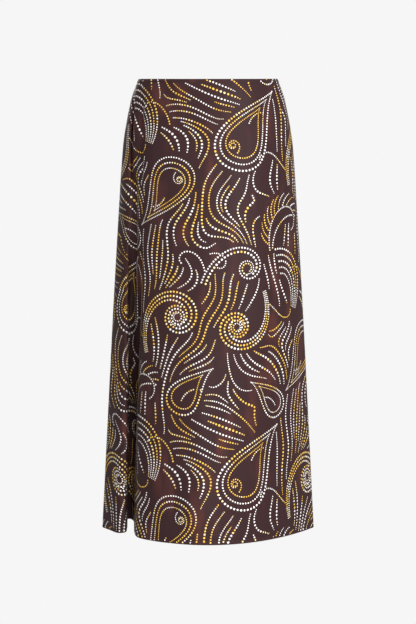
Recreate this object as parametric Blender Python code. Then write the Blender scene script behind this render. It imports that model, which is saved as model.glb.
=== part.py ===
"""Long pull-on skirt in printed satin, in the hollow form it takes when worn.

Metres, +Z up. The origin is the centre of the waist opening, -Y is the wearer's front
and +X the wearer's left. The cloth is lofted through level rings: each ring is a plain
oval read from SECTIONS, with the folds of FOLDS pressed into it.
"""

import math
from collections import namedtuple

import bmesh
import bpy
import numpy as np

# Sizes of the garment
LENGTH = 0.880  # from the waist at the side seam down to the hem
FRONT_DIP = 0.021  # the waist sits lower at the centre front
BACK_RISE = 0.005  # and a little higher at the centre back
CLOTH = 0.0015  # wall that stands for one layer of satin
SEAM_GAP = 0.0003  # clear space between two pieces where they are sewn

CASING_HEIGHT = 0.008  # narrow elastic turned in at the waist
CASING_THICKNESS = 0.0030
CASING_PROUD = 0.0006  # how far it stands out beyond the panels
CASING_SQUARENESS = 0.6  # below 1 the round section grows squarer
CASING_SIDES = 8

HEM_TURN = 0.007  # height of the turned hem
HEM_EXTRA = 0.0008  # the turned layer inside the hem

# Fineness of the loft
COLUMN_WIDTH = 0.0115  # width of a column at the hem
SPLINE_SAMPLES = 12  # points that measure a stretch of spline
ROWS = 16  # rows from the casing to the hem's turn
ROW_SPREAD = 1.5  # above 1 the rows crowd towards the waist
PLAIN_STEP = 17.0  # degrees between two lines of the plain oval
SHARP_ANGLE = 40.0  # degrees; an edge that turns more is shaded sharp

# The plain worn form, one row for each level, measured to the cloth's inner face. Reach
# is the distance from the middle to the front or back. Fullness 0.5 makes that half an
# ellipse, and 1 makes it a parabola, whose sides flare to a soft edge.
Section = namedtuple("Section", "drop half_width front_reach front_fullness back_reach back_fullness")
SECTIONS = (
    Section(0.000, 0.1345, 0.100, 0.50, 0.098, 0.50),
    Section(0.015, 0.1410, 0.103, 0.50, 0.103, 0.50),
    Section(0.035, 0.1478, 0.106, 0.50, 0.109, 0.50),
    Section(0.060, 0.1535, 0.109, 0.51, 0.115, 0.50),
    Section(0.090, 0.1593, 0.112, 0.52, 0.121, 0.50),
    Section(0.125, 0.1645, 0.115, 0.54, 0.126, 0.50),
    Section(0.160, 0.1675, 0.118, 0.57, 0.130, 0.50),
    Section(0.260, 0.1740, 0.124, 0.65, 0.134, 0.51),
    Section(0.450, 0.1850, 0.138, 0.76, 0.142, 0.54),
    Section(0.650, 0.1950, 0.153, 0.86, 0.155, 0.58),
    Section(0.880, 0.2063, 0.172, 0.95, 0.168, 0.62),
)

# The folds, in order round the skirt from the +X side seam by way of the front. All
# widths are shares of the skirt's half width at that level. place is the fold's middle
# (minus is towards -X), mouth its width from brow to brow, gap the width between its
# walls, and turn the way it goes in: 0 is straight to the back, 180 to the front.
# An ease under 1 rounds the near or the far brow, and a flat floor is 1. The walls have
# drawn together to the gap by the time that the fold has grown to opened.
Fold = namedtuple(
    "Fold",
    "panel place_waist place_hem start depth growth mouth_start mouth_hem gap_start gap_hem"
    " turn near_ease far_ease flat opened",
)
FOLDS = (
    Fold("front", -0.860, -0.707, 0.27, 0.117, 0.80, 0.46, 0.38, 0.25, 0.128, -4.0, 1.0, 0.72, 1.0, 0.16),
    Fold("back", -0.620, -0.590, 0.30, 0.082, 1.00, 0.58, 0.62, 0.22, 0.170, 168.0, 1.0, 0.90, 0.2, 1.0),
    Fold("back", 0.020, 0.040, 0.42, 0.046, 1.15, 0.48, 0.54, 0.22, 0.200, 180.0, 1.0, 1.00, 0.0, 1.0),
    Fold("back", 0.690, 0.650, 0.22, 0.104, 0.95, 0.50, 0.56, 0.20, 0.140, 191.0, 0.9, 1.00, 0.4, 1.0),
)
FAINT_DEPTH = 0.003  # what is left of a fold above its start
FAINT_FROM = 0.012  # drop where that trace begins below the casing
FAINT_FULL = 0.080  # and where it reaches its whole depth
BROW_LEAD, BROW_RUN = -0.10, 0.25  # shares of a fold's run over which it first sinks in

# One half of a fold, from its brow to the side of its floor: how far in each line lies
# as a share of the depth, and its place in the grown fold, as a share of the way from
# wall to brow and a share of half the gap. The second share grows where the floor is flat.
FoldLine = namedtuple("FoldLine", "share beyond_wall in_gap in_gap_flat")
FOLD_LINES = (
    FoldLine(0.00, 1.00, 1.00, 1.00),
    FoldLine(0.05, 0.28, 1.00, 1.00),
    FoldLine(0.26, 0.03, 1.00, 1.00),
    FoldLine(0.62, 0.00, 0.88, 0.98),
    FoldLine(0.92, 0.00, 0.55, 0.86),
)

Finish = namedtuple("Finish", "color roughness")
SATIN = Finish((0.058, 0.036, 0.038, 1.0), 0.42)
CASING_SATIN = Finish((0.050, 0.031, 0.033, 1.0), 0.45)


def table_at(column, drop):
    """One column of SECTIONS, read along a smooth curve at a drop below the waist."""
    drops = np.array([row.drop for row in SECTIONS])
    values = np.array([getattr(row, column) for row in SECTIONS])
    slopes = np.gradient(values, drops)
    low = int(np.clip(np.searchsorted(drops, drop) - 1, 0, len(drops) - 2))
    step = drops[low + 1] - drops[low]
    t = (drop - drops[low]) / step
    return (
        (2 * t**3 - 3 * t**2 + 1) * values[low]
        + (t**3 - 2 * t**2 + t) * step * slopes[low]
        + (3 * t**2 - 2 * t**3) * values[low + 1]
        + (t**3 - t**2) * step * slopes[low + 1]
    )


def smooth_step(value, low, high):
    """0 below low, 1 above high, and a smooth curve between them."""
    t = min(max((value - low) / (high - low), 0.0), 1.0)
    return t * t * (3.0 - 2.0 * t)


def oval_point(angle, drop):
    """A point of the plain form: angle 0 at the +X side seam, 90 centre front, 270 centre back."""
    side, rise = math.cos(math.radians(angle)), math.sin(math.radians(angle))
    if rise >= 0.0:
        out = rise ** (2.0 * table_at("front_fullness", drop))
        y, level = -table_at("front_reach", drop) * out, -FRONT_DIP * out
    else:
        out = (-rise) ** (2.0 * table_at("back_fullness", drop))
        y, level = table_at("back_reach", drop) * out, BACK_RISE * out
    return np.array((table_at("half_width", drop) * side, y, level * (1.0 - drop / LENGTH) - drop))


def fold_angle(fold, drop):
    """The angle on the oval of the middle of a fold, which drifts as the skirt widens."""
    narrow, wide = SECTIONS[0].half_width, SECTIONS[-1].half_width
    widened = (table_at("half_width", drop) - narrow) / (wide - narrow)
    place = fold.place_waist + (fold.place_hem - fold.place_waist) * widened
    angle = math.degrees(math.acos(place))
    return angle if fold.panel == "front" else 360.0 - angle


def fold_growth(fold, drop):
    """How much of a fold's full depth it has at a drop, and how far the cloth has been drawn up."""
    run = LENGTH - fold.start
    part = min(max((drop - fold.start) / run, 0.0), 1.0)
    grown = part**fold.growth * smooth_step(part, BROW_LEAD, BROW_RUN)
    faint = FAINT_DEPTH / fold.depth * smooth_step(drop, FAINT_FROM, FAINT_FULL)
    drawn_up = 0.5 * (fold.depth / run) ** 2 * run * part
    return faint + (1.0 - faint) * grown, drawn_up


def fold_half(fold, drop, growth, ease):
    """The lines from one brow of a fold to its floor: each line's distance from the middle, and share."""
    half_width = table_at("half_width", drop)
    part = smooth_step(drop, fold.start, LENGTH)
    mouth = 0.5 * half_width * (fold.mouth_start + (fold.mouth_hem - fold.mouth_start) * part)
    gap = 0.5 * half_width * (fold.gap_start + (fold.gap_hem - fold.gap_start) * part)
    formed = min(growth / fold.opened, 1.0)
    half = []
    for index, line in enumerate(FOLD_LINES):
        shallow = mouth * (1.0 - index / len(FOLD_LINES))
        in_gap = line.in_gap + (line.in_gap_flat - line.in_gap) * fold.flat
        grown = gap * in_gap + (mouth - gap) * line.beyond_wall
        half.append((shallow + (grown - shallow) * formed, line.share**ease))
    return half


def fold_points(fold, drop):
    """The lines of one fold at a drop, in order round the ring, with the angles of its two brows."""
    middle = fold_angle(fold, drop)
    growth, drawn_up = fold_growth(fold, drop)
    near = fold_half(fold, drop, growth, fold.near_ease)
    far = fold_half(fold, drop, growth, fold.far_ease)
    ahead, behind = oval_point(middle + 0.5, drop), oval_point(middle - 0.5, drop)
    per_metre = 1.0 / np.linalg.norm(ahead - behind)
    turn = math.radians(fold.turn)
    inward = np.array((math.sin(turn), math.cos(turn), 0.0))
    lines = [(-place, share) for place, share in near] + [(0.0, 1.0)] + list(reversed(far))
    points = []
    for place, share in lines:
        point = oval_point(middle + place * per_metre, drop)
        point += inward * fold.depth * growth * share
        point[2] += drawn_up * growth * share
        points.append(point)
    return points, middle - near[0][0] * per_metre, middle + far[0][0] * per_metre


def plain_points(start, end, count, drop):
    """Lines of the plain oval, evenly between two angles and without those angles."""
    return [
        oval_point(start + (end - start) * (index + 1) / (count + 1), drop)
        for index in range(count)
    ]


def panel_spans():
    """For each panel, the angles of its two side seams and the folds between them."""
    for panel, first, last in (("front", 0.0, 180.0), ("back", 180.0, 360.0)):
        yield first, last, [fold for fold in FOLDS if fold.panel == panel]


def plain_counts():
    """How many plain lines lie in each stretch between folds and side seams, read at the hem."""
    counts = []
    for first, last, folds in panel_spans():
        edge = first
        for fold in folds:
            _, low, high = fold_points(fold, LENGTH)
            counts.append(max(1, round((low - edge) / PLAIN_STEP)))
            edge = high
        counts.append(max(1, round((last - edge) / PLAIN_STEP)))
    return counts


def ring_lines(drop, plain):
    """The ring's control lines at a drop, and the index of the left-hand side seam among them."""
    counts = iter(plain)
    lines = []
    left_seam = 0
    for first, last, folds in panel_spans():
        left_seam = len(lines)
        lines.append(oval_point(first, drop))
        edge = first
        for fold in folds:
            points, low, high = fold_points(fold, drop)
            lines += plain_points(edge, low, next(counts), drop) + points
            edge = high
        lines += plain_points(edge, last, next(counts), drop)
    return np.array(lines), left_seam


def spline_stretch(before, start, end, after):
    """Points along a centripetal Catmull-Rom spline from start to end, both included."""
    knots = [0.0]
    for a, b in ((before, start), (start, end), (end, after)):
        knots.append(knots[-1] + math.sqrt(np.linalg.norm(b - a)))
    t = np.linspace(knots[1], knots[2], SPLINE_SAMPLES + 1)[:, None]
    k0, k1, k2, k3 = knots
    a1 = (k1 - t) / (k1 - k0) * before + (t - k0) / (k1 - k0) * start
    a2 = (k2 - t) / (k2 - k1) * start + (t - k1) / (k2 - k1) * end
    a3 = (k3 - t) / (k3 - k2) * end + (t - k2) / (k3 - k2) * after
    b1 = (k2 - t) / (k2 - k0) * a1 + (t - k0) / (k2 - k0) * a2
    b2 = (k3 - t) / (k3 - k1) * a2 + (t - k1) / (k3 - k1) * a3
    return (k2 - t) / (k2 - k1) * b1 + (t - k1) / (k2 - k1) * b2


def lengths_along(points):
    """The distance along a run of points, from 0 at the first."""
    steps = np.linalg.norm(np.diff(points, axis=0), axis=1)
    return np.concatenate(([0.0], np.cumsum(steps)))


def ring_stretches(drop, plain):
    """The ring's spline at a drop, one stretch for each control line, and the left seam's index."""
    lines, left_seam = ring_lines(drop, plain)
    count = len(lines)
    stretches = [
        spline_stretch(lines[i - 1], lines[i], lines[(i + 1) % count], lines[(i + 2) % count])
        for i in range(count)
    ]
    return stretches, left_seam


def column_counts(plain):
    """How many columns each stretch of the ring takes, from its length at the hem."""
    stretches, _ = ring_stretches(LENGTH, plain)
    return [max(1, round(lengths_along(stretch)[-1] / COLUMN_WIDTH)) for stretch in stretches]


def ring(drop, plain, columns):
    """A closed ring of points at a drop, and the index of the column on the left side seam."""
    stretches, left_seam = ring_stretches(drop, plain)
    points = []
    seam_column = sum(columns[:left_seam])
    for stretch, count in zip(stretches, columns):
        along = lengths_along(stretch)
        wanted = along[-1] * np.arange(count) / count
        points.append(np.stack([np.interp(wanted, along, stretch[:, axis]) for axis in range(3)], axis=1))
    return np.concatenate(points), seam_column


def surface(drops):
    """The inner skin of the whole skirt: a grid of points, row by row, and its left seam column."""
    plain = plain_counts()
    columns = column_counts(plain)
    rings = [ring(drop, plain, columns) for drop in drops]
    return np.array([points for points, _ in rings]), rings[0][1]


def outward_normals(grid):
    """Unit normals of a closed grid of rings, pointing away from the wearer."""
    along = np.roll(grid, -1, axis=1) - np.roll(grid, 1, axis=1)
    down = np.gradient(grid, axis=0)
    normals = np.cross(along, down)
    return normals / np.linalg.norm(normals, axis=2, keepdims=True)


def add_grid_faces(bm, grid, closed):
    """Quads over a grid of vertices, closed round its columns or open."""
    columns = len(grid[0])
    for upper, lower in zip(grid, grid[1:]):
        for column in range(columns if closed else columns - 1):
            following = (column + 1) % columns
            bm.faces.new((upper[column], upper[following], lower[following], lower[column]))


def finish_piece(name, bm, finish, collection, hanger):
    """A mesh object from a bmesh, with its faces outward, its own material and its place."""
    bmesh.ops.recalc_face_normals(bm, faces=bm.faces)
    mesh = bpy.data.meshes.new(name)
    bm.to_mesh(mesh)
    bm.free()
    mesh.shade_smooth()
    mesh.set_sharp_from_angle(angle=math.radians(SHARP_ANGLE))
    material = bpy.data.materials.new(name)
    material.use_nodes = True
    principled = material.node_tree.nodes["Principled BSDF"]
    principled.inputs["Base Color"].default_value = finish.color
    principled.inputs["Roughness"].default_value = finish.roughness
    principled.inputs["Metallic"].default_value = 0.0
    material.diffuse_color = finish.color
    mesh.materials.append(material)
    piece = bpy.data.objects.new(name, mesh)
    piece.parent = hanger
    collection.objects.link(piece)
    return piece


def panel_drops():
    """The levels of the panels' rows, from under the casing to the hem."""
    top = CASING_HEIGHT + SEAM_GAP
    turn = LENGTH - HEM_TURN
    drops = [top + (turn - top) * (index / ROWS) ** ROW_SPREAD for index in range(ROWS + 1)]
    return drops + [turn + SEAM_GAP, LENGTH]


def cut_back(skin):
    """Moves the two side edges of a panel's skin in by half of the seam's gap."""
    trimmed = skin.copy()
    for edge, beside in ((0, 1), (-1, -2)):
        way = trimmed[:, beside] - trimmed[:, edge]
        way /= np.linalg.norm(way, axis=1, keepdims=True)
        trimmed[:, edge] += way * SEAM_GAP / 2.0
    return trimmed


def make_panel(name, outer, inner, collection, hanger):
    """One panel: an outer and an inner skin of the same rows and columns, joined round their edge."""
    bm = bmesh.new()
    outside, inside = [
        [[bm.verts.new(point) for point in row] for row in cut_back(skin)] for skin in (outer, inner)
    ]
    add_grid_faces(bm, outside, closed=False)
    add_grid_faces(bm, inside, closed=False)
    for row in (0, -1):
        add_grid_faces(bm, [outside[row], inside[row]], closed=False)
    for column in (0, -1):
        edge = [[line[column] for line in skin] for skin in (outside, inside)]
        add_grid_faces(bm, edge, closed=False)
    return finish_piece(name, bm, SATIN, collection, hanger)


def make_panels(collection, hanger):
    """The front and back panels, from one skin so that they share the lines of the side seams."""
    drops = panel_drops()
    inner, seam_column = surface(drops)
    normals = outward_normals(inner)
    outer = inner + normals * CLOTH
    turned = np.array([HEM_EXTRA if drop > LENGTH - HEM_TURN else 0.0 for drop in drops])
    inner = inner - normals * turned[:, None, None]
    total = outer.shape[1]
    front = np.arange(0, seam_column + 1)
    back = np.arange(seam_column, total + 1) % total
    make_panel("front_panel", outer[:, front], inner[:, front], collection, hanger)
    make_panel("back_panel", outer[:, back], inner[:, back], collection, hanger)


def make_casing(collection, hanger):
    """The narrow casing: a rounded section carried round the waist above both panels."""
    middle = CLOTH + CASING_PROUD - CASING_THICKNESS / 2.0
    sides = []
    for index in range(CASING_SIDES):
        angle = 2.0 * math.pi * (index + 0.5) / CASING_SIDES
        down, out = math.cos(angle), math.sin(angle)
        down = math.copysign(abs(down) ** CASING_SQUARENESS, down)
        out = math.copysign(abs(out) ** CASING_SQUARENESS, out)
        sides.append((CASING_HEIGHT / 2.0 * (1.0 + down), middle + CASING_THICKNESS / 2.0 * out))
    grid, _ = surface([0.0, CASING_HEIGHT])
    normals = outward_normals(grid)
    bm = bmesh.new()
    loops = []
    for down, out in sides:
        part = down / CASING_HEIGHT
        loop = grid[0] + (grid[1] - grid[0]) * part + normals[0] * out
        loops.append([bm.verts.new(point) for point in loop])
    add_grid_faces(bm, loops + [loops[0]], closed=True)
    return finish_piece("waist_casing", bm, CASING_SATIN, collection, hanger)


def main():
    """Clears the file and builds the skirt."""
    for item in list(bpy.data.objects):
        bpy.data.objects.remove(item, do_unlink=True)
    collection = bpy.data.collections.new("pull_on_skirt")
    bpy.context.scene.collection.children.link(collection)
    hanger = bpy.data.objects.new("waist", None)
    collection.objects.link(hanger)
    make_panels(collection, hanger)
    make_casing(collection, hanger)


main()
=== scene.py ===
"""Long pull-on skirt in printed satin: its cloth, print, sewing and finishes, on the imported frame.

Metres, +Z up, -Y the wearer's front. The cloth is a thin shell on the form of its solids,
with the small creases laid over it. Every point of it also has a place on the flat cloth,
where the print is laid out before it is wrapped round the form.
"""

import logging
import math
from collections.abc import Iterable, Sequence
from dataclasses import dataclass
from enum import Enum

import bmesh
import bpy
import numpy as np
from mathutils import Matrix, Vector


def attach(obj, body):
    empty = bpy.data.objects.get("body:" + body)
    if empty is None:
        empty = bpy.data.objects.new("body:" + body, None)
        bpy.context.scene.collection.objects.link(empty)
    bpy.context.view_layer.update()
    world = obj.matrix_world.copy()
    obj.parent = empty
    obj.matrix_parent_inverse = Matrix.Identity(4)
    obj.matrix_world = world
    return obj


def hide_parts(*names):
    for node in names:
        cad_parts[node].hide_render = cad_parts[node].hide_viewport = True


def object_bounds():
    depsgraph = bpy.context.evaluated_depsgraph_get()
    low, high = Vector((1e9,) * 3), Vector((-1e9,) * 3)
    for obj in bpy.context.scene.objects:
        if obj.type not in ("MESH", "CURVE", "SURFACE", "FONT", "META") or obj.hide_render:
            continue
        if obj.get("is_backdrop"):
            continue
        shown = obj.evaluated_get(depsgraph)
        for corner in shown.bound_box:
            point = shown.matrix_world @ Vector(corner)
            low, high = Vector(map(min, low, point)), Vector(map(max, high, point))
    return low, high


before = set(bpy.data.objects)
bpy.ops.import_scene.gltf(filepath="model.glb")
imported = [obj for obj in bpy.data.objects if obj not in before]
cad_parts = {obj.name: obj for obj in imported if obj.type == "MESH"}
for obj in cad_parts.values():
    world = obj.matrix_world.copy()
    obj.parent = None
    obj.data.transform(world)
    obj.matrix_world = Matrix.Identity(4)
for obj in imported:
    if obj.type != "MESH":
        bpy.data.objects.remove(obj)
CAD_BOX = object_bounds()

log = logging.getLogger("skirt")

CM = 0.01  # a centimetre in metres
MM = 0.001  # a millimetre in metres
MM_IN_CM = 0.1  # a millimetre in centimetres


# ---------------------------------------------------------------- shader and node helpers


class Socket:
    """An output socket in a node tree, on which Python's operators add Math nodes."""

    def __init__(self, tree: "Tree", output: bpy.types.NodeSocket) -> None:
        """Wraps an output.

        Args:
            tree: The tree that the output belongs to.
            output: The output socket.
        """
        self.tree = tree
        self.output = output

    def _math(self, operation: str, *values: object) -> "Socket":
        """The output of a Math node."""
        return self.tree.add("ShaderNodeMath", {"operation": operation}, dict(enumerate(values)))

    def __add__(self, other: object) -> "Socket":
        """self + other."""
        return self._math("ADD", self, other)

    def __radd__(self, other: object) -> "Socket":
        """other + self."""
        return self._math("ADD", other, self)

    def __sub__(self, other: object) -> "Socket":
        """self - other."""
        return self._math("SUBTRACT", self, other)

    def __mul__(self, other: object) -> "Socket":
        """self * other."""
        return self._math("MULTIPLY", self, other)

    def between(self, low: float, high: float) -> "Socket":
        """0 where self is below low, 1 above high, and smooth in between.

        Args:
            low: The value that becomes 0.
            high: The value that becomes 1.

        Returns:
            The output of a Map Range node.
        """
        inputs = {"Value": self, "From Min": low, "From Max": high}
        return self.tree.add("ShaderNodeMapRange", {"interpolation_type": "SMOOTHSTEP"}, inputs)


class Tree:
    """A node tree under construction."""

    def __init__(self, nodes: bpy.types.NodeTree) -> None:
        """Wraps a node tree.

        Args:
            nodes: The tree of a material, a world or a modifier.
        """
        self.nodes = nodes

    def add(self, kind: str, settings: dict[str, object] | None = None,
            sockets: dict[object, object] | None = None, output: object = 0) -> Socket:
        """Adds a node, sets it and links it.

        Args:
            kind: The node's type.
            settings: Its own settings, which are set first.
            sockets: Values or links for its inputs, by name or number.
            output: Name or number of the output that is returned.

        Returns:
            The wrapped output.
        """
        node = self.nodes.nodes.new(kind)
        for name, value in (settings or {}).items():
            setattr(node, name, value)
        for key, value in (sockets or {}).items():
            self.feed(self.socket_of(node.inputs, key), value)
        return Socket(self, self.socket_of(node.outputs, output))

    @staticmethod
    def socket_of(sockets: Iterable[bpy.types.NodeSocket], key: object) -> bpy.types.NodeSocket:
        """The enabled socket of a name or number."""
        enabled = [item for item in sockets if item.enabled]
        return enabled[key] if isinstance(key, int) else next(item for item in enabled if item.name == key)

    def feed(self, socket: bpy.types.NodeSocket, value: object) -> None:
        """Links or sets an input.

        Args:
            socket: The input.
            value: A Socket to link, or a plain value to set.
        """
        if isinstance(value, Socket):
            self.nodes.links.new(value.output, socket)
        else:
            socket.default_value = value

    def feed_all(self, node: bpy.types.Node, values: dict[str, object]) -> None:
        """Links or sets some inputs of a node by name."""
        for name, value in values.items():
            self.feed(node.inputs[name], value)

    def noise(self, place: Socket, scale: float, detail: float) -> Socket:
        """Noise at a place.

        Args:
            place: The coordinates.
            scale: How many lumps there are in a metre.
            detail: How many finer layers it has.

        Returns:
            The noise, from 0 to 1.
        """
        return self.add("ShaderNodeTexNoise", {}, {"Vector": place, "Scale": scale, "Detail": detail}, "Fac")

    def stretched(self, place: Socket, down: float) -> Socket:
        """Coordinates whose second axis is scaled, so that lumps run down the cloth."""
        return self.add("ShaderNodeMapping", {}, {"Vector": place, "Scale": (1.0, down, 1.0)})

    def mix(self, factor: object, low: tuple[float, ...], high: object) -> Socket:
        """A colour between two others.

        Args:
            factor: 0 for low and 1 for high.
            low: The first colour.
            high: The second colour, or a link to one.

        Returns:
            The mixed colour.
        """
        return self.add("ShaderNodeMix", {"data_type": "RGBA"}, {"Factor": factor, "A": low, "B": high})


def colour(red: float, green: float, blue: float) -> tuple[float, float, float, float]:
    """An opaque colour from its three linear values."""
    return (red, green, blue, 1.0)


# ---------------------------------------------------------------- finishes


WHITE = colour(1.0, 1.0, 1.0)
BAND_SPACING = 0.3  # metres from band to band of a Wave texture with a scale of 1, about

Span = tuple[float, float]  # the values of a noise that become 0 and 1


def started(name: str) -> tuple[bpy.types.Material, Tree, bpy.types.Node]:
    """Starts a material.

    Args:
        name: The material's name.

    Returns:
        The material, its tree and the node of its Principled BSDF.
    """
    made = bpy.data.materials.new(name)
    made.use_nodes = True
    return made, Tree(made.node_tree), made.node_tree.nodes["Principled BSDF"]


@dataclass(frozen=True)
class Satin:
    """Printed satin: a dark ground with rusty clouds, a fine twill and a faint sheen.

    A scale is the number of lumps in a metre. The clouds are long smears where larger
    blotches let them show.
    """

    name: str = "printed_satin"
    ground: tuple[float, ...] = colour(0.0450, 0.0212, 0.0228)
    rust: tuple[float, ...] = colour(0.096, 0.033, 0.029)
    rust_strength: float = 0.85
    smear_scale: float = 26.0
    smear_span: Span = (0.46, 0.68)
    smear_stretch: float = 0.32
    blotch_scale: float = 9.0
    blotch_span: Span = (0.38, 0.60)
    grain_scale: float = 900.0
    grain_span: Span = (0.35, 0.75)
    grain_shade: tuple[float, ...] = colour(0.55, 0.55, 0.58)
    grain_strength: float = 0.18
    grain_depth: float = 0.00002
    roughness: float = 0.46
    blotch_roughness: float = 0.08
    grain_roughness: float = 0.10
    thread_pitch: float = 0.00042
    weave_depth: float = 0.00002
    pucker_scale: float = 70.0
    pucker_stretch: float = 0.3
    pucker_depth: float = 0.0006
    relief: float = 0.6
    specular: float = 0.06
    sheen: float = 0.02
    sheen_roughness: float = 0.45
    sheen_tint: tuple[float, ...] = colour(0.62, 0.50, 0.50)

    def material(self) -> bpy.types.Material:
        """Builds the material.

        Returns:
            A material that reads the cloth's flat coordinates.
        """
        made, tree, shader = started(self.name)
        flat = tree.add("ShaderNodeUVMap", {"uv_map": "flat"})
        smears = tree.noise(tree.stretched(flat, self.smear_stretch), self.smear_scale, 2.0)
        blotches = tree.noise(flat, self.blotch_scale, 1.0).between(*self.blotch_span)
        clouds = smears.between(*self.smear_span) * blotches * self.rust_strength
        grain = tree.noise(flat, self.grain_scale, 1.0)
        speck = tree.mix(grain.between(*self.grain_span) * self.grain_strength, WHITE, self.grain_shade)
        tinted = tree.add("ShaderNodeMix", {"data_type": "RGBA", "blend_type": "MULTIPLY"}, {
            "Factor": 1.0, "A": tree.mix(clouds, self.ground, self.rust), "B": speck})
        uneven = (blotches - 0.5) * self.blotch_roughness + (grain - 0.5) * self.grain_roughness
        tree.feed_all(shader, {
            "Base Color": tinted,
            "Roughness": self.roughness + uneven,
            "Normal": self._relief(tree, flat, grain),
            "Specular IOR Level": self.specular,
            "Sheen Weight": self.sheen,
            "Sheen Roughness": self.sheen_roughness,
            "Sheen Tint": self.sheen_tint,
        })
        return made

    def _relief(self, tree: Tree, flat: Socket, grain: Socket) -> Socket:
        """The twill, the slight pucker and the grain of the surface.

        Args:
            tree: The material's tree.
            flat: The flat coordinates.
            grain: The grain's noise.

        Returns:
            The output of a Bump node.
        """
        twill = tree.add("ShaderNodeTexWave", {"wave_type": "BANDS", "bands_direction": "DIAGONAL"}, {
            "Vector": flat, "Scale": BAND_SPACING / self.thread_pitch}, "Fac")
        pucker = tree.noise(tree.stretched(flat, self.pucker_stretch), self.pucker_scale, 2.0)
        height = twill * self.weave_depth + pucker * self.pucker_depth + grain * self.grain_depth
        return tree.add("ShaderNodeBump", {}, {"Strength": self.relief, "Distance": 1.0, "Height": height})


@dataclass(frozen=True)
class PrintInk:
    """A printed ink: matt, a little uneven from dot to dot."""

    name: str
    light: tuple[float, ...]
    deep: tuple[float, ...]
    mottle_scale: float = 160.0
    mottle_span: Span = (0.45, 0.72)
    mottle_roughness: float = 0.12
    roughness: float = 0.52
    specular: float = 0.35

    def material(self) -> bpy.types.Material:
        """Builds the material.

        Returns:
            A material that reads object coordinates.
        """
        made, tree, shader = started(self.name)
        mottle = tree.noise(tree.add("ShaderNodeTexCoord", {}, {}, "Object"), self.mottle_scale, 1.0)
        tree.feed_all(shader, {
            "Base Color": tree.mix(mottle.between(*self.mottle_span), self.light, self.deep),
            "Roughness": self.roughness + (mottle - 0.5) * self.mottle_roughness,
            "Specular IOR Level": self.specular,
        })
        return made


@dataclass(frozen=True)
class Thread:
    """Dark sewing thread with a fine twist."""

    name: str = "sewing_thread"
    dark: tuple[float, ...] = colour(0.030, 0.019, 0.020)
    light: tuple[float, ...] = colour(0.075, 0.050, 0.050)
    twist_scale: float = 2600.0
    twist_span: Span = (0.35, 0.65)
    roughness: float = 0.55

    def material(self) -> bpy.types.Material:
        """Builds the material.

        Returns:
            A material that reads object coordinates.
        """
        made, tree, shader = started(self.name)
        twist = tree.noise(tree.add("ShaderNodeTexCoord", {}, {}, "Object"), self.twist_scale, 1.0)
        tree.feed_all(shader, {
            "Base Color": tree.mix(twist.between(*self.twist_span), self.dark, self.light),
            "Roughness": self.roughness,
        })
        return made


class Ink(Enum):
    """The inks of the print."""

    IVORY = PrintInk("ivory_ink", colour(1.0, 0.965, 0.93), colour(0.88, 0.82, 0.74))
    CREAM = PrintInk("cream_ink", colour(0.98, 0.80, 0.42), colour(0.92, 0.68, 0.24))
    GOLD = PrintInk("gold_ink", colour(0.97, 0.61, 0.09), colour(0.80, 0.42, 0.04))


# ---------------------------------------------------------------- the worn form


class Side(Enum):
    """The two panels, each with the angles of its side seams."""

    FRONT = ("front_panel", 0.0, 180.0)
    BACK = ("back_panel", 180.0, 360.0)

    @property
    def node(self) -> str:
        """The name of the panel's solid."""
        return self.value[0]

    @property
    def first(self) -> float:
        """The angle of the seam where the panel starts."""
        return self.value[1]

    @property
    def last(self) -> float:
        """The angle of the seam where the panel ends."""
        return self.value[2]


@dataclass(frozen=True)
class Section:
    """The plain oval at one level. Fullness 0.5 makes half an ellipse, and 1 a parabola."""

    drop: float
    half_width: float
    front_reach: float
    front_fullness: float
    back_reach: float
    back_fullness: float


@dataclass(frozen=True)
class Fold:
    """A deep fold. Widths are shares of the half width, and turn is the way that it goes in.

    Its walls have drawn together to the gap by the time that it has grown to opened.
    """

    side: Side
    place_waist: float
    place_hem: float
    start: float
    depth: float
    growth: float
    mouth_start: float
    mouth_hem: float
    gap_start: float
    gap_hem: float
    turn: float
    near_ease: float
    far_ease: float
    flat: float
    opened: float


@dataclass(frozen=True)
class FoldLine:
    """A line of half a fold: how deep it lies, and its place between the brow and the floor."""

    share: float
    beyond_wall: float
    in_gap: float
    in_gap_flat: float


@dataclass(frozen=True)
class Crease:
    """A soft trough (depth above 0) or ridge (below 0), with its place given in metres across the view.

    It fades out towards both ends. Where the two widths differ, one of its flanks is the
    steeper. A slant above 0 tucks it in under the cloth on its +X side, and one below 0
    under the other side, by that share of its depth.
    """

    side: Side
    across_top: float
    across_foot: float
    top: float
    foot: float
    width_right: float
    width_left: float
    depth: float
    slant: float = 0.0


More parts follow.
